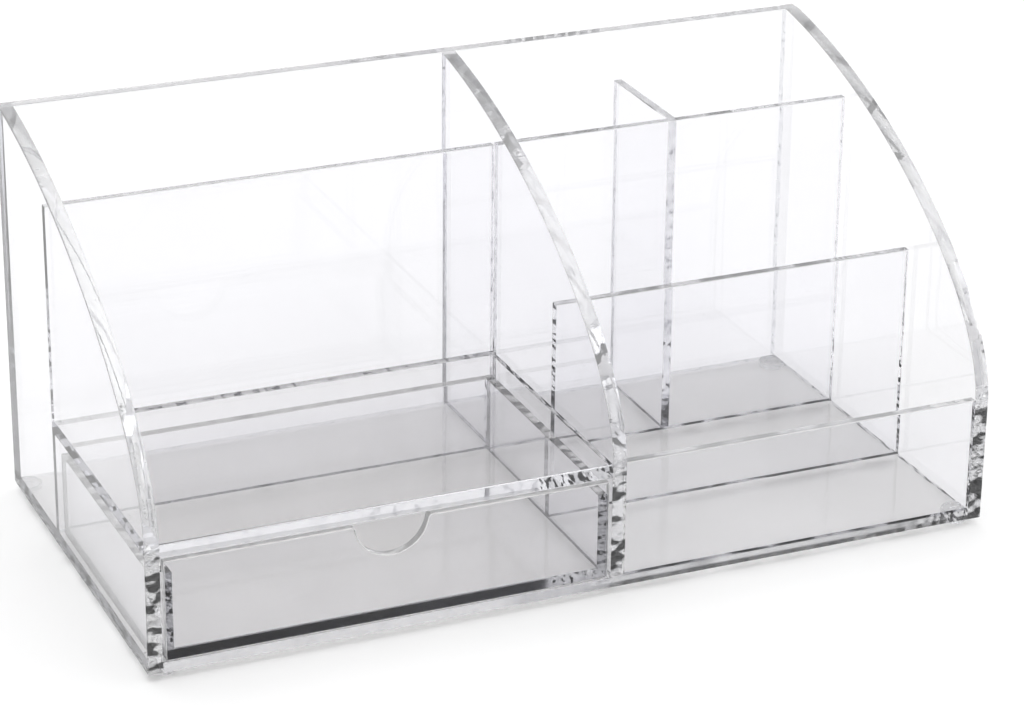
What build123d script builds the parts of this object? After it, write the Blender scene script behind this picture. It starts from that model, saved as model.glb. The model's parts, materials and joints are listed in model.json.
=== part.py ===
from build123d import *
import os

os.makedirs("parts", exist_ok=True)

# Clear brush holder with a drawer. Millimetres.
# +Z up, front towards -Y, +X to the right as seen from the front.
# The origin is on the table, under the middle of the box.

# ---- overall size ----
WIDTH = 240.0          # over the two side panels
DEPTH = 122.0          # front edge to the back of the back panel
HEIGHT = 112.0         # side and back panels, without the feet
FOOT_H = 2.0           # bumper feet lift the box off the table
FOOT_R = 4.0
FOOT_INSET = 5.5       # foot centre to the outer faces

# ---- sheet ----
SHELL_T = 4.0          # sides, back, centre divider and drawer bay top
BASE_T = 3.0           # base panel
INNER_T = 2.5          # upright dividers, low front panel and drawer box

# ---- side profile ----
FRONT_H = 36.0         # short vertical front edge, and top of the drawer bay

# ---- compartments, from the left outer face and the front face ----
CENTRE_X = 127.5       # left face of the centre divider
PARTITION_X = 181.0    # left face of the small partition
REAR_Y = 80.5          # front face of the tall dividers
REAR_H = 97.0          # top of the tall dividers and the small partition
MIDDLE_Y = 40.3        # front face of the lower divider
MIDDLE_H = 65.2        # top of the lower divider

# ---- drawer ----
SIDE_GAP = 0.9         # each side of the drawer
UNDER_GAP = 0.3        # under the drawer
DRAWER_TOP = 31.1      # top of the drawer front
DRAWER_SIDE_TOP = 27.2 # top of the drawer's sides and back
DRAWER_BACK = 78.5     # back face of the drawer box
NOTCH_R = 10.0         # finger notch
NOTCH_RISE = 0.6       # notch centre above the top edge
NOTCH_FILLET = 1.2

# ---- derived places in the part's frame ----
X0 = -WIDTH / 2
X1 = WIDTH / 2
Y0 = -DEPTH / 2
Y1 = DEPTH / 2
Z0 = FOOT_H            # underside of the base and side panels
ZB = Z0 + BASE_T       # floor of the compartments
IN_L = X0 + SHELL_T
IN_R = X1 - SHELL_T
CEN_L = X0 + CENTRE_X
CEN_R = CEN_L + SHELL_T
BACK_F = Y1 - SHELL_T  # front face of the back panel
REAR_F = Y0 + REAR_Y
REAR_B = REAR_F + INNER_T
MID_F = Y0 + MIDDLE_Y
PAR_L = X0 + PARTITION_X

# The curved front edge, one smooth cubic from the top of the short vertical
# edge up to the front face of the back panel: its ends and its two handles.
CURVE = [
    (Y0, Z0 + FRONT_H),
    (Y0 + 1.3, Z0 + 64.1),
    (Y0 + 53.8, Z0 + 101.6),
    (BACK_F, Z0 + HEIGHT),
]

# ---- base panel: the floor between the side panels, under the back panel's face ----
with BuildPart() as base_panel:
    with BuildSketch(Plane.XY.offset(Z0)):
        with Locations(((IN_L + IN_R) / 2, (Y0 + BACK_F) / 2)):
            Rectangle(IN_R - IN_L, BACK_F - Y0)
    extrude(amount=BASE_T)
base_panel.part.label = "base_panel"
export_step(base_panel.part, "parts/base_panel.step")

# ---- left side panel: straight back, curved front edge, short vertical front edge ----
with BuildPart() as left_side_panel:
    with BuildSketch(Plane.YZ.offset(X0)):
        with BuildLine():
            Polyline((Y1, Z0 + HEIGHT), (Y1, Z0), (Y0, Z0), CURVE[0])
            Bezier(*CURVE)
            Line(CURVE[-1], (Y1, Z0 + HEIGHT))
        make_face()
    extrude(amount=SHELL_T)
left_side_panel.part.label = "left_side_panel"
export_step(left_side_panel.part, "parts/left_side_panel.step")

# ---- right side panel: the same profile ----
with BuildPart() as right_side_panel:
    with BuildSketch(Plane.YZ.offset(IN_R)):
        with BuildLine():
            Polyline((Y1, Z0 + HEIGHT), (Y1, Z0), (Y0, Z0), CURVE[0])
            Bezier(*CURVE)
            Line(CURVE[-1], (Y1, Z0 + HEIGHT))
        make_face()
    extrude(amount=SHELL_T)
right_side_panel.part.label = "right_side_panel"
export_step(right_side_panel.part, "parts/right_side_panel.step")

# ---- back panel: full height, between the side panels ----
with BuildPart() as back_panel:
    with BuildSketch(Plane.XZ.offset(-BACK_F)):
        with Locations(((IN_L + IN_R) / 2, Z0 + HEIGHT / 2)):
            Rectangle(IN_R - IN_L, HEIGHT)
    extrude(amount=-SHELL_T)
back_panel.part.label = "back_panel"
export_step(back_panel.part, "parts/back_panel.step")

# ---- centre divider: the side profile again, standing on the base ----
with BuildPart() as centre_divider:
    with BuildSketch(Plane.YZ.offset(CEN_L)):
        with BuildLine():
            Polyline(CURVE[-1], (BACK_F, ZB), (Y0, ZB), CURVE[0])
            Bezier(*CURVE)
        make_face()
    extrude(amount=SHELL_T)
centre_divider.part.label = "centre_divider"
export_step(centre_divider.part, "parts/centre_divider.step")

# ---- tall divider of the left bay, which also closes the back of the drawer bay ----
with BuildPart() as left_rear_divider:
    with BuildSketch(Plane.XZ.offset(-REAR_F)):
        with Locations(((IN_L + CEN_L) / 2, (ZB + Z0 + REAR_H) / 2)):
            Rectangle(CEN_L - IN_L, Z0 + REAR_H - ZB)
    extrude(amount=-INNER_T)
left_rear_divider.part.label = "left_rear_divider"
export_step(left_rear_divider.part, "parts/left_rear_divider.step")

# ---- tall divider of the right bay, in line with the left one ----
with BuildPart() as right_rear_divider:
    with BuildSketch(Plane.XZ.offset(-REAR_F)):
        with Locations(((CEN_R + IN_R) / 2, (ZB + Z0 + REAR_H) / 2)):
            Rectangle(IN_R - CEN_R, Z0 + REAR_H - ZB)
    extrude(amount=-INNER_T)
right_rear_divider.part.label = "right_rear_divider"
export_step(right_rear_divider.part, "parts/right_rear_divider.step")

# ---- small partition that halves the right bay's rear cell ----
with BuildPart() as rear_cell_partition:
    with BuildSketch(Plane.YZ.offset(PAR_L)):
        with Locations(((REAR_B + BACK_F) / 2, (ZB + Z0 + REAR_H) / 2)):
            Rectangle(BACK_F - REAR_B, Z0 + REAR_H - ZB)
    extrude(amount=INNER_T)
rear_cell_partition.part.label = "rear_cell_partition"
export_step(rear_cell_partition.part, "parts/rear_cell_partition.step")

# ---- lower divider of the right bay ----
with BuildPart() as right_middle_divider:
    with BuildSketch(Plane.XZ.offset(-MID_F)):
        with Locations(((CEN_R + IN_R) / 2, (ZB + Z0 + MIDDLE_H) / 2)):
            Rectangle(IN_R - CEN_R, Z0 + MIDDLE_H - ZB)
    extrude(amount=-INNER_T)
right_middle_divider.part.label = "right_middle_divider"
export_step(right_middle_divider.part, "parts/right_middle_divider.step")

# ---- low front panel of the right bay, flush with the panels' front edges ----
with BuildPart() as right_front_panel:
    with BuildSketch(Plane.XZ.offset(-Y0)):
        with Locations(((CEN_R + IN_R) / 2, (ZB + Z0 + FRONT_H) / 2)):
            Rectangle(IN_R - CEN_R, Z0 + FRONT_H - ZB)
    extrude(amount=-INNER_T)
right_front_panel.part.label = "right_front_panel"
export_step(right_front_panel.part, "parts/right_front_panel.step")

# ---- top of the drawer bay: a shelf from the front edge back to the tall divider ----
with BuildPart() as drawer_bay_top:
    with BuildSketch(Plane.XY.offset(Z0 + FRONT_H - SHELL_T)):
        with Locations(((IN_L + CEN_L) / 2, (Y0 + REAR_F) / 2)):
            Rectangle(CEN_L - IN_L, REAR_F - Y0)
    extrude(amount=SHELL_T)
drawer_bay_top.part.label = "drawer_bay_top"
export_step(drawer_bay_top.part, "parts/drawer_bay_top.step")

# ---- drawer, closed ----
DR_L = IN_L + SIDE_GAP
DR_R = CEN_L - SIDE_GAP
DR_C = (DR_L + DR_R) / 2
DR_Z = ZB + UNDER_GAP
DR_F = Z0 + DRAWER_TOP
DR_S = Z0 + DRAWER_SIDE_TOP
DR_IF = Y0 + INNER_T           # back face of the drawer front
DR_B = Y0 + DRAWER_BACK
DR_IB = DR_B - INNER_T         # inner face of the drawer back
DR_FLOOR = DR_Z + INNER_T

# front, with a rounded finger notch in the middle of its top edge
with BuildPart() as drawer_front:
    with BuildSketch(Plane.XZ.offset(-Y0)) as face:
        with Locations((DR_C, (DR_Z + DR_F) / 2)):
            Rectangle(DR_R - DR_L, DR_F - DR_Z)
        with Locations((DR_C, DR_F + NOTCH_RISE)):
            Circle(NOTCH_R, mode=Mode.SUBTRACT)
        corners = [
            v
            for v in face.vertices().group_by(Axis.Z)[-1]
            if abs(v.X - DR_C) < NOTCH_R + 1
        ]
        fillet(corners, radius=NOTCH_FILLET)
    extrude(amount=-INNER_T)
drawer_front.part.label = "drawer_front"
export_step(drawer_front.part, "parts/drawer_front.step")

# bottom, butted against the back of the front
with BuildPart() as drawer_bottom:
    with BuildSketch(Plane.XY.offset(DR_Z)):
        with Locations((DR_C, (DR_IF + DR_B) / 2)):
            Rectangle(DR_R - DR_L, DR_B - DR_IF)
    extrude(amount=INNER_T)
drawer_bottom.part.label = "drawer_bottom"
export_step(drawer_bottom.part, "parts/drawer_bottom.step")

# left side, standing on the bottom
with BuildPart() as drawer_left_side:
    with BuildSketch(Plane.YZ.offset(DR_L)):
        with Locations(((DR_IF + DR_B) / 2, (DR_FLOOR + DR_S) / 2)):
            Rectangle(DR_B - DR_IF, DR_S - DR_FLOOR)
    extrude(amount=INNER_T)
drawer_left_side.part.label = "drawer_left_side"
export_step(drawer_left_side.part, "parts/drawer_left_side.step")

# right side, standing on the bottom
with BuildPart() as drawer_right_side:
    with BuildSketch(Plane.YZ.offset(DR_R - INNER_T)):
        with Locations(((DR_IF + DR_B) / 2, (DR_FLOOR + DR_S) / 2)):
            Rectangle(DR_B - DR_IF, DR_S - DR_FLOOR)
    extrude(amount=INNER_T)
drawer_right_side.part.label = "drawer_right_side"
export_step(drawer_right_side.part, "parts/drawer_right_side.step")

# back, between the sides
with BuildPart() as drawer_back:
    with BuildSketch(Plane.XZ.offset(-DR_IB)):
        with Locations((DR_C, (DR_FLOOR + DR_S) / 2)):
            Rectangle(DR_R - DR_L - 2 * INNER_T, DR_S - DR_FLOOR)
    extrude(amount=-INNER_T)
drawer_back.part.label = "drawer_back"
export_step(drawer_back.part, "parts/drawer_back.step")

# ---- four round bumper feet under the corners: flat-bottomed low domes ----
FX = X1 - FOOT_INSET
FY = Y1 - FOOT_INSET
FOOT_ROUND = 1.0

with BuildPart() as foot_front_left:
    with BuildSketch(Plane.XY.offset(Z0)):
        with Locations((-FX, -FY)):
            Circle(FOOT_R)
    extrude(amount=-FOOT_H)
    fillet(foot_front_left.edges().sort_by(Axis.Z)[0], radius=FOOT_ROUND)
foot_front_left.part.label = "foot_front_left"
export_step(foot_front_left.part, "parts/foot_front_left.step")

with BuildPart() as foot_front_right:
    with BuildSketch(Plane.XY.offset(Z0)):
        with Locations((FX, -FY)):
            Circle(FOOT_R)
    extrude(amount=-FOOT_H)
    fillet(foot_front_right.edges().sort_by(Axis.Z)[0], radius=FOOT_ROUND)
foot_front_right.part.label = "foot_front_right"
export_step(foot_front_right.part, "parts/foot_front_right.step")

with BuildPart() as foot_rear_left:
    with BuildSketch(Plane.XY.offset(Z0)):
        with Locations((-FX, FY)):
            Circle(FOOT_R)
    extrude(amount=-FOOT_H)
    fillet(foot_rear_left.edges().sort_by(Axis.Z)[0], radius=FOOT_ROUND)
foot_rear_left.part.label = "foot_rear_left"
export_step(foot_rear_left.part, "parts/foot_rear_left.step")

with BuildPart() as foot_rear_right:
    with BuildSketch(Plane.XY.offset(Z0)):
        with Locations((FX, FY)):
            Circle(FOOT_R)
    extrude(amount=-FOOT_H)
    fillet(foot_rear_right.edges().sort_by(Axis.Z)[0], radius=FOOT_ROUND)
foot_rear_right.part.label = "foot_rear_right"
export_step(foot_rear_right.part, "parts/foot_rear_right.step")
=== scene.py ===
import json
import math

import bmesh
import bpy
from mathutils import Matrix, Vector

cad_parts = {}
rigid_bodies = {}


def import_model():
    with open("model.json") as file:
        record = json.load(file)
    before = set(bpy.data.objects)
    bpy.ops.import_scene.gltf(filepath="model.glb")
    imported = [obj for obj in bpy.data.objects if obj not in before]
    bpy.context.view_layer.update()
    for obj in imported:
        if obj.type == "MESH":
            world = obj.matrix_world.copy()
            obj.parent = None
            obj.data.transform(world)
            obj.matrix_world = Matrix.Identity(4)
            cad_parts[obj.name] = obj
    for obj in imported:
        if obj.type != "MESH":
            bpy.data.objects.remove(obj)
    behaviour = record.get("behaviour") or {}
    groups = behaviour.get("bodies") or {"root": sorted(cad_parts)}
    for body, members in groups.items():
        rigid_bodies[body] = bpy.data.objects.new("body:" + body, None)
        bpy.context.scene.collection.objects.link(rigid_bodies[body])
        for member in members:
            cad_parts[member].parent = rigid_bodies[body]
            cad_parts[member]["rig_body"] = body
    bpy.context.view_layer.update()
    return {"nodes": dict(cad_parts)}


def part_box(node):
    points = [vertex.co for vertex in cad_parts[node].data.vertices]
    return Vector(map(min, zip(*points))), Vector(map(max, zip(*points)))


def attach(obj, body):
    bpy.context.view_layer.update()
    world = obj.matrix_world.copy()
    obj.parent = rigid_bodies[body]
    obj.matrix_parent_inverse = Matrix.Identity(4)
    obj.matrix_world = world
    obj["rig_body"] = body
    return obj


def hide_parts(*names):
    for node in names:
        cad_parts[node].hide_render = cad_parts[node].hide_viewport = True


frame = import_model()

# ---------------------------------------------------------------- sizes, mm
# The same numbers as the solids have, read back from the frame so they agree.
MM = 1000.0
CASE = sorted(n for n, o in frame["nodes"].items() if o["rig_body"] == "case")
DRAWER = sorted(n for n, o in frame["nodes"].items() if o["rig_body"] == "drawer")
FEET = [n for n in CASE if n.startswith("foot_")]
BOX = {}
for n in CASE + DRAWER:
    lo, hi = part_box(n)
    BOX[n] = ([round(v * MM, 3) for v in lo], [round(v * MM, 3) for v in hi])

CURVED = {"left_side_panel", "right_side_panel", "centre_divider"}
FRONT_SHEETS = set()
CURVE = [(-61.0, 38.0), (-59.7, 66.1), (-7.2, 103.6), (57.0, 114.0)]
NOTCH_Z, NOTCH_R, NOTCH_FILLET = 33.7, 10.0, 1.2

# material slots on every panel
FACE, EDGE, WELD, CUT = 0, 1, 2, 3


def thin_axis(name):
    lo, hi = BOX[name]
    size = [hi[a] - lo[a] for a in range(3)]
    return size.index(min(size))


def contacts(name):
    """Rectangles where this panel is welded to another of its body: (axis, plane, lo, hi)."""
    out = []
    body = CASE if name in CASE else DRAWER
    lo, hi = BOX[name]
    for other in body:
        if other == name or other in FEET or name in FEET:
            continue
        olo, ohi = BOX[other]
        for a in range(3):
            b, c = [x for x in range(3) if x != a]
            for plane, facing in ((lo[a], ohi[a]), (hi[a], olo[a])):
                if abs(plane - facing) > 1e-3:
                    continue
                b0, b1 = max(lo[b], olo[b]), min(hi[b], ohi[b])
                c0, c1 = max(lo[c], olo[c]), min(hi[c], ohi[c])
                if b1 - b0 > 0.2 and c1 - c0 > 0.2:
                    rlo, rhi = [0, 0, 0], [0, 0, 0]
                    rlo[a] = rhi[a] = plane
                    rlo[b], rhi[b], rlo[c], rhi[c] = b0, b1, c0, c1
                    out.append((a, plane, rlo, rhi))
    return out


# ---------------------------------------------------------------- outlines
def side_outline(name):
    lo, hi = BOX[name]
    p = [Vector(q) for q in CURVE]
    pts = [(lo[1], lo[2])]
    steps = 96
    for i in range(steps + 1):
        t = i / steps
        q = (p[0] * (1 - t) ** 3 + p[1] * 3 * t * (1 - t) ** 2
             + p[2] * 3 * t * t * (1 - t) + p[3] * t ** 3)
        pts.append((q.x, q.y))
    if hi[1] > p[3].x + 0.01:
        pts.append((hi[1], hi[2]))
    pts.append((hi[1], lo[2]))
    return pts


def drawer_front_outline(name):
    """The front's top edge with its finger notch, whose two top corners are rounded."""
    lo, hi = BOX[name]
    cx, top = (lo[0] + hi[0]) / 2, hi[2]
    r, f = NOTCH_R, NOTCH_FILLET
    fz = top - f
    fx = math.sqrt((r + f) ** 2 - (fz - NOTCH_Z) ** 2)
    pts = [(lo[0], lo[2]), (lo[0], top)]
    a_end = math.atan2(NOTCH_Z - fz, fx)
    for i in range(9):
        a = math.pi / 2 - (math.pi / 2 - a_end) * i / 8
        pts.append((cx - fx + f * math.cos(a), fz + f * math.sin(a)))
    a0 = math.pi + math.atan2(NOTCH_Z - fz, fx)
    a1 = 2 * math.pi - math.atan2(NOTCH_Z - fz, fx)
    for i in range(1, 48):
        a = a0 + (a1 - a0) * i / 48
        pts.append((cx + r * math.cos(a), NOTCH_Z + r * math.sin(a)))
    for i in range(9):
        a = math.pi - a_end + (math.pi / 2 - (math.pi - a_end)) * i / 8
        pts.append((cx + fx + f * math.cos(a), fz + f * math.sin(a)))
    pts += [(hi[0], top), (hi[0], lo[2])]
    return pts


def extrude_outline(bm, pts, axis, a0, a1):
    others = [x for x in range(3) if x != axis]

    def vert(p, a):
        co = [0.0, 0.0, 0.0]
        co[axis], co[others[0]], co[others[1]] = a, p[0], p[1]
        return bm.verts.new(co)

    low = [vert(p, a0) for p in pts]
    high = [vert(p, a1) for p in pts]
    bm.faces.new(low)
    bm.faces.new(high)
    for i in range(len(pts)):
        j = (i + 1) % len(pts)
        bm.faces.new((low[i], low[j], high[j], high[i]))
    bmesh.ops.recalc_face_normals(bm, faces=bm.faces[:])


# ---------------------------------------------------------------- panels
def finish_mesh(bm, name, material_list):
    bmesh.ops.scale(bm, vec=(1 / MM,) * 3, verts=bm.verts[:])
    mesh = bpy.data.meshes.new("vis_" + name)
    bm.to_mesh(mesh)
    bm.free()
    for m in material_list:
        mesh.materials.append(m)
    obj = bpy.data.objects.new("vis_" + name, mesh)
    bpy.context.scene.collection.objects.link(obj)
    return obj


def panel(name, materials, bevel):
    lo, hi = BOX[name]
    t = thin_axis(name)
    bm = bmesh.new()
    if name in CURVED:
        extrude_outline(bm, side_outline(name), 0, lo[0], hi[0])
    elif name == "drawer_front":
        extrude_outline(bm, drawer_front_outline(name), 1, lo[1], hi[1])
    else:
        b, c = [x for x in range(3) if x != t]
        extrude_outline(bm, [(lo[b], lo[c]), (lo[b], hi[c]), (hi[b], hi[c]), (hi[b], lo[c])],
                        t, lo[t], hi[t])
    welds = contacts(name)
    cuts = set()
    for a, plane, rlo, rhi in welds:
        for x in range(3):
            if x != a:
                for v in (rlo[x], rhi[x]):
                    if lo[x] + 1e-3 < v < hi[x] - 1e-3:
                        cuts.add((x, round(v, 3)))
    for x, v in sorted(cuts):
        co, no = [0, 0, 0], [0, 0, 0]
        co[x], no[x] = v, 1
        bmesh.ops.bisect_plane(bm, geom=bm.verts[:] + bm.edges[:] + bm.faces[:], dist=1e-4,
                               plane_co=co, plane_no=no)
    bm.normal_update()
    for f in bm.faces:
        n = f.normal
        a = max(range(3), key=lambda x: abs(n[x]))
        f.material_index = FACE if (a == t and abs(n[t]) > 0.999) else EDGE
        if f.material_index == EDGE and (n[2] < -0.999 or (n[1] > 0.999 and name not in FRONT_SHEETS)
                                         or (name == "drawer_bottom" and abs(n[0]) > 0.999)):
            f.material_index = CUT
        c = f.calc_center_median()
        for wa, plane, rlo, rhi in welds:
            if wa == a and abs(n[a]) > 0.999 and abs(c[a] - plane) < 1e-3 and all(
                    rlo[x] - 1e-3 <= c[x] <= rhi[x] + 1e-3 for x in range(3) if x != a):
                f.material_index = WELD
    sharp = [e for e in bm.edges if len(e.link_faces) == 2 and e.calc_face_angle(0) > math.radians(30)
             and all(f.material_index != WELD for f in e.link_faces)]
    bmesh.ops.bevel(bm, geom=sharp, offset=bevel, offset_type="OFFSET", segments=3, profile=0.5,
                    affect="EDGES", clamp_overlap=True, material=EDGE)
    bm.normal_update()
    for f in bm.faces:
        n = f.normal
        f.smooth = f.material_index == EDGE and max(abs(x) for x in n) < 0.9999
    obj = finish_mesh(bm, name, materials)
    return obj


def foot(name, materials):
    """A soft bumper: a low dome with a small flat crown, its film of glue above it."""
    lo, hi = BOX[name]
    cx, cy, r = (lo[0] + hi[0]) / 2, (lo[1] + hi[1]) / 2, (hi[0] - lo[0]) / 2
    top, low = hi[2] - 0.03, lo[2]
    prof = [(0.0, top), (r - 0.25, top), (r - 0.07, top - 0.07), (r, top - 0.25), (r, low + 1.15)]
    for i in range(1, 9):
        a = math.pi / 2 * i / 8
        prof.append((r - 1.15 + 1.15 * math.cos(a), low + 1.15 - 1.15 * math.sin(a)))
    prof += [(r * 0.55, low), (r * 0.45, low + 0.12), (0.0, low + 0.16)]
    bm = bmesh.new()
    seg = 64
    rings = []
    for pr, pz in prof:
        if pr == 0.0:
            rings.append([bm.verts.new((cx, cy, pz))])
        else:
            rings.append([bm.verts.new((cx + pr * math.cos(2 * math.pi * k / seg),
                                        cy + pr * math.sin(2 * math.pi * k / seg), pz)) for k in range(seg)])
    for a, b in zip(rings, rings[1:]):
        for k in range(seg):
            j = (k + 1) % seg
            if len(a) == 1:
                bm.faces.new((a[0], b[k], b[j]))
            elif len(b) == 1:
                bm.faces.new((a[k], a[j], b[0]))
            else:
                bm.faces.new((a[k], a[j], b[j], b[k]))
    bmesh.ops.recalc_face_normals(bm, faces=bm.faces[:])
    for f in bm.faces:
        f.smooth = abs(f.normal.z) < 0.995
    return finish_mesh(bm, name, materials)


# ---------------------------------------------------------------- materials
def node_material(name):
    m = bpy.data.materials.new(name)
    m.use_nodes = True
    nt = m.node_tree
    for n in list(nt.nodes):
        nt.nodes.remove(n)
    out = nt.nodes.new("ShaderNodeOutputMaterial")
    return m, nt, out


def larger(nt, a, b):
    n = nt.nodes.new("ShaderNodeMath")
    n.operation = "MAXIMUM"
    nt.links.new(a, n.inputs[0])
    nt.links.new(b, n.inputs[1])
    return n.outputs[0]


def noise(nt, coord, scale, detail=2.0, stretch=(1, 1, 1), rough=0.5):
    mp = nt.nodes.new("ShaderNodeMapping")
    mp.inputs["Scale"].default_value = stretch
    nt.links.new(coord, mp.inputs["Vector"])
    t = nt.nodes.new("ShaderNodeTexNoise")
    t.inputs["Scale"].default_value = scale
    t.inputs["Detail"].default_value = detail
    t.inputs["Roughness"].default_value = rough
    nt.links.new(mp.outputs["Vector"], t.inputs["Vector"])
    return t.outputs["Fac"]


def ramp(nt, fac, stops):
    r = nt.nodes.new("ShaderNodeValToRGB")
    while len(r.color_ramp.elements) < len(stops):
        r.color_ramp.elements.new(0.5)
    for e, (p, c) in zip(r.color_ramp.elements, stops):
        e.position = p
        e.color = (*c, 1) if hasattr(c, "__len__") else (c, c, c, 1)
    nt.links.new(fac, r.inputs["Fac"])
    return r.outputs["Color"]


def bump(nt, height, strength, distance, normal=None):
    b = nt.nodes.new("ShaderNodeBump")
    b.inputs["Strength"].default_value = strength
    b.inputs["Distance"].default_value = distance
    nt.links.new(height, b.inputs["Height"])
    if normal is not None:
        nt.links.new(normal, b.inputs["Normal"])
    return b.outputs["Normal"]


def acrylic_face(name, tint_lo, tint_hi, rough=0.010, ripples=0.06):
    """Polished sheet: almost clear, with the faint ripple and wipe marks of cast acrylic."""
    m, nt, out = node_material(name)
    tc = nt.nodes.new("ShaderNodeTexCoord")
    p = nt.nodes.new("ShaderNodeBsdfPrincipled")
    p.inputs["Transmission Weight"].default_value = 1.0
    p.inputs["IOR"].default_value = 1.49
    broad = noise(nt, tc.outputs["Object"], 22.0, 3.0)
    nt.links.new(ramp(nt, broad, [(0.3, tint_lo), (0.7, tint_hi)]), p.inputs["Base Color"])
    wipe = noise(nt, tc.outputs["Object"], 60.0, 4.0, (1.0, 1.0, 0.25))
    nt.links.new(ramp(nt, wipe, [(0.45, rough * 0.5 - 0.005), (0.8, rough)]), p.inputs["Roughness"])
    ripple = noise(nt, tc.outputs["Object"], 45.0, 1.0)
    nt.links.new(bump(nt, ripple, ripples, 0.0004), p.inputs["Normal"])
    nt.links.new(p.outputs["BSDF"], out.inputs["Surface"])
    return m


def mix_color(nt, fac, a, b):
    n = nt.nodes.new("ShaderNodeMix")
    n.data_type = "RGBA"
    nt.links.new(fac, n.inputs[0])
    nt.links.new(a, n.inputs[6])
    nt.links.new(b, n.inputs[7])
    return n.outputs[2]


def span(nt, value, start, end):
    """0 at start, 1 at end."""
    n = nt.nodes.new("ShaderNodeMapRange")
    n.inputs["From Min"].default_value = start
    n.inputs["From Max"].default_value = end
    nt.links.new(value, n.inputs["Value"])
    return n.outputs["Result"]


def both(nt, a, b):
    n = nt.nodes.new("ShaderNodeMath")
    n.operation = "MULTIPLY"
    nt.links.new(a, n.inputs[0])
    nt.links.new(b, n.inputs[1])
    return n.outputs[0]


def base_front(nt, sep, blob):
    """The base's long front edge: clear in its upper half; along its lower half on the right it is painted near-black,
    painted shade.
    """
    low = span(nt, sep.outputs["Z"], 0.0037, 0.0033)
    right_side = span(nt, sep.outputs["X"], -0.004, 0.012)
    clear = ramp(nt, blob, [(0.36, 0.90), (0.5, 1.0)])
    # painted shade: near-black across the middle, breaking into pale patches towards the right end
    base_edge_painted_shade = mix_color(nt, span(nt, sep.outputs["X"], 0.070, 0.100),
                      ramp(nt, blob, [(0.36, 0.04), (0.64, 0.13)]),
                      ramp(nt, blob, [(0.42, 0.03), (0.54, 0.20), (0.60, 0.8)]))
    return mix_color(nt, both(nt, low, right_side), clear, base_edge_painted_shade)


def saw_cut(name):
    """Hidden saw-cut edges, left unpolished: satin, with the blade's fine lines. Low cut faces at the drawer floor are
    painted near-black as painted shade, and the left side's underside carries a painted mottle of reflections and
    shade.
    """
    m, nt, out = node_material(name)
    tc = nt.nodes.new("ShaderNodeTexCoord")
    p = nt.nodes.new("ShaderNodeBsdfPrincipled")
    p.inputs["Transmission Weight"].default_value = 1.0
    p.inputs["IOR"].default_value = 1.49
    lines = noise(nt, tc.outputs["Object"], 700.0, 2.0)
    sep = nt.nodes.new("ShaderNodeSeparateXYZ")
    nt.links.new(tc.outputs["Object"], sep.inputs["Vector"])
    dark = ramp(nt, lines, [(0.3, (0.10, 0.10, 0.11)), (0.7, (0.25, 0.25, 0.27))])
    pale = ramp(nt, lines, [(0.3, (0.90, 0.905, 0.92)), (0.7, (0.97, 0.975, 0.98))])
    # painted shade: cut faces between 5.2 and 8 mm high in the front part are painted near-black
    low_end = both(nt, span(nt, sep.outputs["Y"], 0.050, 0.030), span(nt, sep.outputs["Z"], 0.0082, 0.0080))
    rear_end = both(nt, low_end, span(nt, sep.outputs["Z"], 0.0050, 0.0052))
    # the left side's underside: a painted mottle of near-black and pale patches, painted reflections and shade, made
    # partly diffuse so it shows
    underside_mottle = noise(nt, tc.outputs["Object"], 300.0, 1.0)
    painted_mottle = ramp(nt, underside_mottle, [(0.42, (0.03, 0.03, 0.035)), (0.50, (0.93, 0.93, 0.94))])
    under_left = both(nt, span(nt, sep.outputs["X"], -0.1155, -0.1159), span(nt, sep.outputs["Z"], 0.0026, 0.0022))
    color = mix_color(nt, rear_end, pale, dark)
    nt.links.new(mix_color(nt, under_left, color, painted_mottle), p.inputs["Base Color"])
    clear = nt.nodes.new("ShaderNodeMapRange")
    clear.inputs["To Min"].default_value = 1.0
    clear.inputs["To Max"].default_value = 0.45
    nt.links.new(under_left, clear.inputs["Value"])
    nt.links.new(clear.outputs["Result"], p.inputs["Transmission Weight"])
    nt.links.new(ramp(nt, lines, [(0.3, 0.16), (0.7, 0.28)]), p.inputs["Roughness"])
    nt.links.new(bump(nt, lines, 0.15, 0.0002), p.inputs["Normal"])
    nt.links.new(p.outputs["BSDF"], out.inputs["Surface"])
    return m


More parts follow.
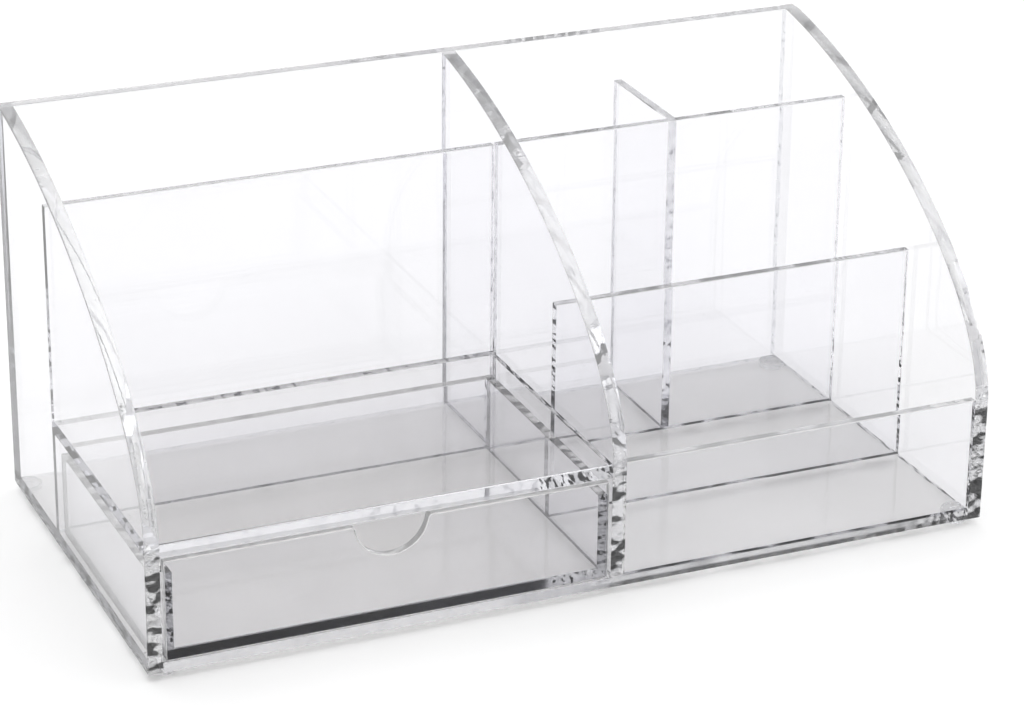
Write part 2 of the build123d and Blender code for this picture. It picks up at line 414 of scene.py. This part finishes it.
def acrylic_edge(name, axis, tint_lo, tint_hi, gentle, rough, waves):
    """Cut and flame-polished edge: striations across the sheet, melted into soft waves. Up to the drawer's height the
    straight saw cut shows more than on the routed curve, and there the colour is painted light: near-black blobs on the
    side sheets' and divider's edges are painted reflections, and the base's front edge is painted shade."""
    m, nt, out = node_material(name)
    tc = nt.nodes.new("ShaderNodeTexCoord")
    p = nt.nodes.new("ShaderNodeBsdfPrincipled")
    p.inputs["Transmission Weight"].default_value = 1.0
    p.inputs["IOR"].default_value = 1.49
    across = [1.0, 1.0, 1.0]
    across[axis] = 0.45
    wave = noise(nt, tc.outputs["Object"], 330.0, 1.0, tuple(across))
    fine = noise(nt, tc.outputs["Object"], 1100.0, 1.5, tuple(across))
    swell = noise(nt, tc.outputs["Object"], 90.0, 1.0, tuple(across))
    nt.links.new(ramp(nt, fine, [(0.4, 0.0), (0.8, 0.03)]), p.inputs["Roughness"])
    sep = nt.nodes.new("ShaderNodeSeparateXYZ")
    nt.links.new(tc.outputs["Object"], sep.inputs["Vector"])
    height = nt.nodes.new("ShaderNodeMapRange")
    height.inputs["From Min"].default_value = 0.036
    height.inputs["From Max"].default_value = 0.046
    height.inputs["To Min"].default_value = rough
    height.inputs["To Max"].default_value = gentle
    nt.links.new(sep.outputs["Z"], height.inputs["Value"])
    upper = ramp(nt, wave, [(0.35, tint_lo), (0.65, tint_hi)])
    blob = noise(nt, tc.outputs["Object"], 430.0, 1.0, tuple(across))
    # painted light below the drawer's top: near-black blobs are painted reflections, the base's front edge gets painted
    # shade, the other edges keep a pale random tone
    if axis == 0:
        lower = ramp(nt, blob, [(0.44, 0.02), (0.48, 0.5), (0.54, 1.0)])
    elif axis == 2:
        lower = base_front(nt, sep, blob)
    else:
        lower = ramp(nt, blob, [(0.36, 0.85), (0.6, 0.99)])
    step = nt.nodes.new("ShaderNodeMapRange")
    step.inputs["From Min"].default_value = 0.0345
    step.inputs["From Max"].default_value = 0.0400
    nt.links.new(sep.outputs["Z"], step.inputs["Value"])
    nt.links.new(mix_color(nt, step.outputs["Result"], lower, upper), p.inputs["Base Color"])
    haze = nt.nodes.new("ShaderNodeMapRange")
    haze.inputs["From Min"].default_value = 0.036
    haze.inputs["From Max"].default_value = 0.060
    haze.inputs["To Min"].default_value = (0.80, 0.62, 0.97)[axis]
    haze.inputs["To Max"].default_value = 0.76
    nt.links.new(sep.outputs["Z"], haze.inputs["Value"])
    nt.links.new(haze.outputs["Result"], p.inputs["Transmission Weight"])
    n0 = bump(nt, swell, waves, 0.0015)
    b = nt.nodes.new("ShaderNodeBump")
    b.inputs["Distance"].default_value = 0.0010
    nt.links.new(height.outputs["Result"], b.inputs["Strength"])
    nt.links.new(wave, b.inputs["Height"])
    nt.links.new(n0, b.inputs["Normal"])
    n2 = bump(nt, fine, (0.05, 0.03, 0.008)[axis], 0.0003, b.outputs["Normal"])
    nt.links.new(n2, p.inputs["Normal"])
    nt.links.new(p.outputs["BSDF"], out.inputs["Surface"])
    return m


def weld_material(name):
    """The solvent joint between two sheets: light goes on through it, a little dimmed in streaks. The low band of the
    joint behind the drawer front is painted charcoal, painted shade, darkest on the left.
    """
    m, nt, out = node_material(name)
    tc = nt.nodes.new("ShaderNodeTexCoord")
    t = nt.nodes.new("ShaderNodeBsdfTransparent")
    sep = nt.nodes.new("ShaderNodeSeparateXYZ")
    nt.links.new(tc.outputs["Object"], sep.inputs["Vector"])
    streak = noise(nt, tc.outputs["Object"], 430.0, 1.5)
    dots = noise(nt, tc.outputs["Object"], 800.0, 1.0)
    high = ramp(nt, streak, [(0.30, (0.66, 0.66, 0.68)), (0.37, (0.86, 0.86, 0.875)), (0.6, (0.92, 0.92, 0.93))])
    low = ramp(nt, streak, [(0.37, (0.25, 0.25, 0.27)), (0.42, (0.88, 0.88, 0.89)), (0.6, (0.96, 0.96, 0.97))])
    patch = noise(nt, tc.outputs["Object"], 140.0, 1.5)
    seam = ramp(nt, patch, [(0.40, (0.04, 0.04, 0.05)), (0.50, (0.28, 0.28, 0.30)), (0.58, (0.80, 0.80, 0.82))])
    dash = noise(nt, tc.outputs["Object"], 700.0, 1.0, (1.0, 0.28, 1.0))
    dashes = ramp(nt, dash, [(0.42, (0.08, 0.08, 0.09)), (0.47, (0.95, 0.95, 0.96))])
    shelf_end = both(nt, both(nt, span(nt, sep.outputs["X"], 0.0065, 0.0070), span(nt, sep.outputs["X"], 0.0085, 0.0080)),
                     both(nt, span(nt, sep.outputs["Z"], 0.0390, 0.0385), span(nt, sep.outputs["Z"], 0.0330, 0.0335)))
    right_end = both(nt, span(nt, sep.outputs["X"], 0.1150, 0.1155), span(nt, sep.outputs["Z"], 0.0460, 0.0430))
    left_foot = both(nt, span(nt, sep.outputs["X"], -0.1155, -0.1158), span(nt, sep.outputs["Z"], 0.0051, 0.0050))
    front_half = span(nt, sep.outputs["Y"], 0.0185, 0.0175)
    dotted = ramp(nt, dots, [(0.37, (0.05, 0.05, 0.06)), (0.40, (0.98, 0.98, 0.98))])
    # painted shade: the joint behind the drawer front, charcoal below 7.4 mm and darkest towards the left, pale above
    painted_shade_strip = mix_color(nt, span(nt, sep.outputs["X"], -0.110, -0.012),
                      ramp(nt, streak, [(0.30, (0.045, 0.045, 0.055)), (0.70, (0.085, 0.085, 0.095))]),
                      ramp(nt, streak, [(0.30, (0.10, 0.10, 0.115)), (0.70, (0.20, 0.20, 0.215))]))
    color = mix_color(nt, both(nt, span(nt, sep.outputs["Z"], 0.0335, 0.0325), span(nt, sep.outputs["Y"], 0.050, 0.045)), high, low)
    dashed = larger(nt, both(nt, larger(nt, shelf_end, right_end), front_half), left_foot)
    color = mix_color(nt, dashed, color, dashes)
    front = span(nt, sep.outputs["Y"], -0.0550, -0.0560)
    color = mix_color(nt, both(nt, front, span(nt, sep.outputs["Z"], 0.0320, 0.0310)), color, dotted)
    floor_line = both(nt, span(nt, sep.outputs["Z"], 0.0051, 0.00505), span(nt, sep.outputs["Z"], 0.00490, 0.00495))
    color = mix_color(nt, both(nt, floor_line, span(nt, sep.outputs["X"], 0.0116, 0.0118)), color, seam)
    # the joint band behind the drawer front that takes the painted shade
    glue = both(nt, both(nt, front, span(nt, sep.outputs["Z"], 0.0080, 0.0079)), span(nt, sep.outputs["Z"], 0.0051, 0.0052))
    painted_shade_strip = mix_color(nt, span(nt, sep.outputs["Z"], 0.0073, 0.0075), painted_shade_strip, ramp(nt, streak, [(0.30, 0.93), (0.70, 0.97)]))
    color = mix_color(nt, both(nt, glue, span(nt, sep.outputs["X"], -0.009, -0.012)), color, painted_shade_strip)
    nt.links.new(color, t.inputs["Color"])
    nt.links.new(t.outputs["BSDF"], out.inputs["Surface"])
    return m


def soft_foot(name):
    m, nt, out = node_material(name)
    tc = nt.nodes.new("ShaderNodeTexCoord")
    p = nt.nodes.new("ShaderNodeBsdfPrincipled")
    p.inputs["Transmission Weight"].default_value = 1.0
    p.inputs["IOR"].default_value = 1.47
    mottle = noise(nt, tc.outputs["Object"], 500.0, 3.0)
    nt.links.new(ramp(nt, mottle, [(0.3, (0.86, 0.87, 0.88)), (0.7, (0.95, 0.95, 0.96))]), p.inputs["Base Color"])
    nt.links.new(ramp(nt, mottle, [(0.3, 0.08), (0.7, 0.2)]), p.inputs["Roughness"])
    nt.links.new(bump(nt, mottle, 0.2, 0.0002), p.inputs["Normal"])
    nt.links.new(p.outputs["BSDF"], out.inputs["Surface"])
    return m


# One acrylic in three copies. The faint lavender grey is the sheet's own tint. The darker tint of the upright sheets
# and the darkest tint of the base are painted shade; the base's tint stands in for the shadow on the floor under the
# case.
face = acrylic_face("acrylic_face", (0.945, 0.944, 0.958), (0.962, 0.961, 0.973))
shelf_face = acrylic_face("acrylic_face_level", (0.994, 0.990, 0.990), (1.0, 0.996, 0.996), 0.010, 0.015)
base_face = acrylic_face("acrylic_face_base", (0.900, 0.895, 0.895), (0.935, 0.930, 0.930), 0.17)
drawer_floor_face = acrylic_face("acrylic_face_drawer", (0.994, 0.990, 0.990), (1.0, 0.996, 0.996), 0.15, 0.015)
FACES = {"base_panel": base_face, "drawer_bay_top": shelf_face, "drawer_bottom": drawer_floor_face}
edges = [acrylic_edge("acrylic_edge_" + "xyz"[a], a, (0.90, 0.905, 0.92), (0.97, 0.972, 0.98), g, r, w)
         for a, (g, r, w) in enumerate(((0.02, 0.60, 0.03), (0.02, 0.05, 0.012), (0.012, 0.012, 0.004)))]
weld = weld_material("solvent_weld")
cut = saw_cut("saw_cut_edge")
feet_mat = soft_foot("soft_bumper")

# ---------------------------------------------------------------- the pieces
for n in CASE + DRAWER:
    if n in FEET:
        o = foot(n, [feet_mat])
    else:
        o = panel(n, [FACES.get(n, face), edges[thin_axis(n)], weld, cut], 0.35 if BOX[n][1][thin_axis(n)] - BOX[n][0][thin_axis(n)] > 3.5 else 0.25)
    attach(o, "case" if n in CASE else "drawer")
    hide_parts(n)

# ---------------------------------------------------------------- floor and light
bm = bmesh.new()
ring = [bm.verts.new((6.0 * math.cos(2 * math.pi * k / 96), 6.0 * math.sin(2 * math.pi * k / 96), 0.0)) for k in range(96)]
bm.faces.new(ring)
mesh = bpy.data.meshes.new("floor")
bm.to_mesh(mesh)
bm.free()
floor = bpy.data.objects.new("floor", mesh)
bpy.context.scene.collection.objects.link(floor)
m, nt, out = node_material("floor_white")
d = nt.nodes.new("ShaderNodeBsdfDiffuse")
d.inputs["Color"].default_value = (0.92, 0.92, 0.92, 1)
e = nt.nodes.new("ShaderNodeEmission")
e.inputs["Color"].default_value = (1, 1, 1, 1)
e.inputs["Strength"].default_value = 1.05
mix = nt.nodes.new("ShaderNodeMixShader")
mix.inputs["Fac"].default_value = 0.28
nt.links.new(d.outputs["BSDF"], mix.inputs[1])
nt.links.new(e.outputs["Emission"], mix.inputs[2])
nt.links.new(mix.outputs["Shader"], out.inputs["Surface"])
mesh.materials.append(m)

world = bpy.data.worlds.new("studio")
bpy.context.scene.world = world
world.use_nodes = True
nt = world.node_tree
for n in list(nt.nodes):
    nt.nodes.remove(n)
out = nt.nodes.new("ShaderNodeOutputWorld")
bg = nt.nodes.new("ShaderNodeBackground")
bg.inputs["Color"].default_value = (1, 1, 1, 1)
tc = nt.nodes.new("ShaderNodeTexCoord")
sep = nt.nodes.new("ShaderNodeSeparateXYZ")
nt.links.new(tc.outputs["Generated"], sep.inputs["Vector"])
half = nt.nodes.new("ShaderNodeMath")
half.operation = "MULTIPLY_ADD"
half.inputs[1].default_value = 0.5
half.inputs[2].default_value = 0.5
nt.links.new(sep.outputs["Z"], half.inputs[0])


def z(deg):
    return 0.5 + 0.5 * math.sin(math.radians(deg))


sky = ramp(nt, half.outputs[0], [(z(-2), 0.96), (z(6), 0.92), (z(13), 0.755), (z(32), 0.755), (z(44), 0.76), (z(90), 0.80)])


def softbox(direction, radius, soft, strength):
    """A round soft light in the sky: its level falls from strength to nothing over soft degrees."""
    n = nt.nodes.new("ShaderNodeVectorMath")
    n.operation = "DOT_PRODUCT"
    nt.links.new(tc.outputs["Generated"], n.inputs[0])
    n.inputs[1].default_value = Vector(direction).normalized()
    r = nt.nodes.new("ShaderNodeMapRange")
    r.interpolation_type = "SMOOTHSTEP"
    r.inputs["From Min"].default_value = math.cos(math.radians(radius + soft))
    r.inputs["From Max"].default_value = math.cos(math.radians(radius))
    r.inputs["To Min"].default_value = 0.0
    r.inputs["To Max"].default_value = strength
    nt.links.new(n.outputs["Value"], r.inputs["Value"])
    return r.outputs["Result"]


def plus(a, b):
    n = nt.nodes.new("ShaderNodeMath")
    n.operation = "ADD"
    nt.links.new(a, n.inputs[0])
    nt.links.new(b, n.inputs[1])
    return n.outputs[0]


level = nt.nodes.new("ShaderNodeSeparateColor")
nt.links.new(sky, level.inputs["Color"])
total = level.outputs["Red"]
for lamp in (((0.05, 0.22, 1.0), 30, 6, 1.44), ((-0.85, -0.35, 0.46), 16, 5, 0.72), ((0.80, -0.50, 0.42), 14, 5, 0.72)):
    total = plus(total, softbox(*lamp))
nt.links.new(total, bg.inputs["Strength"])
nt.links.new(bg.outputs["Background"], out.inputs["Surface"])

# ---------------------------------------------------------------- camera
cam_data = bpy.data.cameras.new("camera")
cam_data.sensor_fit = "HORIZONTAL"
cam_data.sensor_width = 36.0
cam_data.lens = 120.6101
cam_data.clip_start = 0.01
cam_data.clip_end = 100.0
cam = bpy.data.objects.new("camera", cam_data)
bpy.context.scene.collection.objects.link(cam)
right, up, ahead = (Vector(v).normalized() for v in (
    (0.918076, -0.396261, 0.010708), (0.149462, 0.371045, 0.916508), (0.367149, 0.839823, -0.399873)))
rot = Matrix((right, up, -ahead)).transposed().to_4x4()
cam.matrix_world = Matrix.Translation((-0.34022, -0.78985, 0.41890)) @ rot
bpy.context.scene.camera = cam

scene = bpy.context.scene
scene.cycles.max_bounces = 40
scene.cycles.transmission_bounces = 40
scene.cycles.glossy_bounces = 40
scene.cycles.diffuse_bounces = 3
scene.cycles.transparent_max_bounces = 64
scene.cycles.caustics_reflective = True
scene.cycles.caustics_refractive = True
scene.cycles.blur_glossy = 0.3
scene.cycles.sample_clamp_indirect = 8.0
scene.view_settings.view_transform = "Standard"
